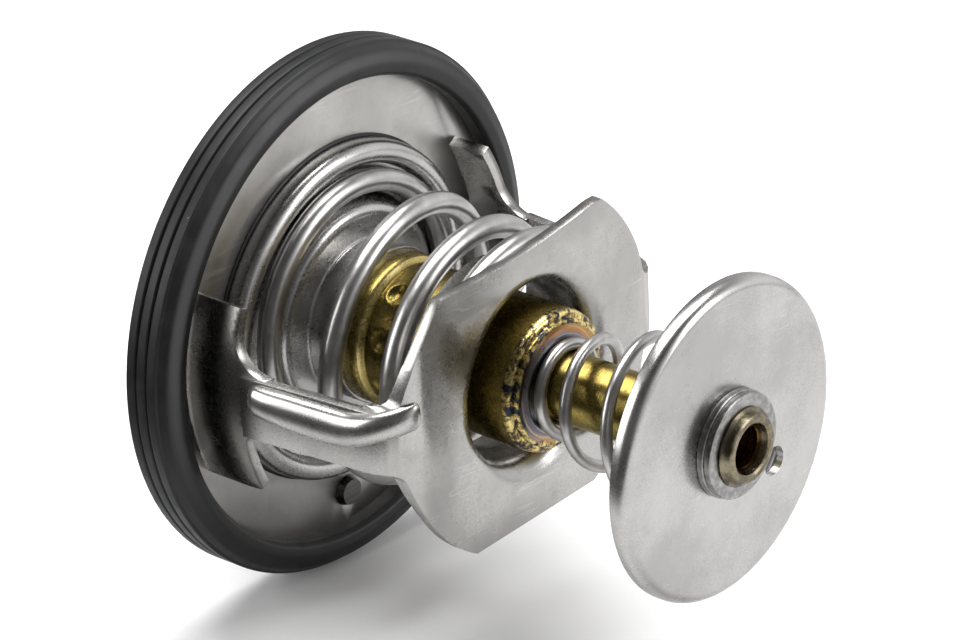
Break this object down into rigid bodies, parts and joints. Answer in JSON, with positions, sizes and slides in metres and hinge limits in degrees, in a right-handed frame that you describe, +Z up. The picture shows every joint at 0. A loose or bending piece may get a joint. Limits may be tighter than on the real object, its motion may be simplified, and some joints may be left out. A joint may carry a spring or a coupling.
{
  "type": "engine thermostat",
  "caption": "Wax-element coolant valve with a ribbed rubber seal, sprung main valve in a pressed steel frame, and a sprung bypass disc on a brass stem",
  "frame": {"origin": "On the valve axis, in the middle plane of the flange and its rubber seal", "axes": "+X runs along the valve axis from the outlet side through the flange to the bypass disc, +Z is up, with the vent at the bottom, and the two frame legs stand near +Y and -Y"},
  "size_m": [0.084, 0.067, 0.067],
  "materials": {
    "rubber": "matt moulded rubber with three fine ribs",
    "plate_steel": "satin stainless sheet with fine scratches and sheared edges",
    "ground_steel": "smooth ground steel",
    "spring_steel": "drawn wire with a soft shine",
    "brass": "turned brass gone olive, with dents and worn bright edges",
    "wax": "packed wax and metal powder",
    "white_plastic": "plain plastic washer",
    "tinted_steel": "steel tinted orange and blue by heat"
  },
  "bodies": {
    "frame": {"seal_ring": "rubber", "flange_plate": "plate_steel", "upper_frame": "plate_steel", "lower_frame": "plate_steel", "piston": "ground_steel", "main_spring": "spring_steel"},
    "element": {"valve_disc": "plate_steel", "valve_seal": "rubber", "element_guide": "brass", "wax_case": "brass", "wax_charge": "wax", "rubber_sleeve": "rubber", "sleeve_washer": "white_plastic", "end_ring": "tinted_steel", "stem_tube": "brass", "rear_washer": "tinted_steel", "front_washer": "ground_steel", "bypass_spring": "spring_steel"},
    "bypass_valve": {"bypass_disc": "plate_steel"},
    "vent": {"vent_pin": "ground_steel"}
  },
  "joints": [
    {"name": "valve_lift", "type": "slide", "parent": "frame", "child": "element", "axis": [1, 0, 0], "range_m": [0, 0.008], "stiffness_N_per_m": 6150, "springref_m": -0.006, "deforming": ["main_spring"]},
    {"name": "bypass_slide", "type": "slide", "parent": "element", "child": "bypass_valve", "axis": [-1, 0, 0], "range_m": [0, 0.006], "stiffness_N_per_m": 3200, "springref_m": -0.003, "deforming": ["bypass_spring"]},
    {"name": "vent_slide", "type": "slide", "parent": "frame", "child": "vent", "axis": [1, 0, 0], "range_m": [0, 0.0014]}
  ]
}
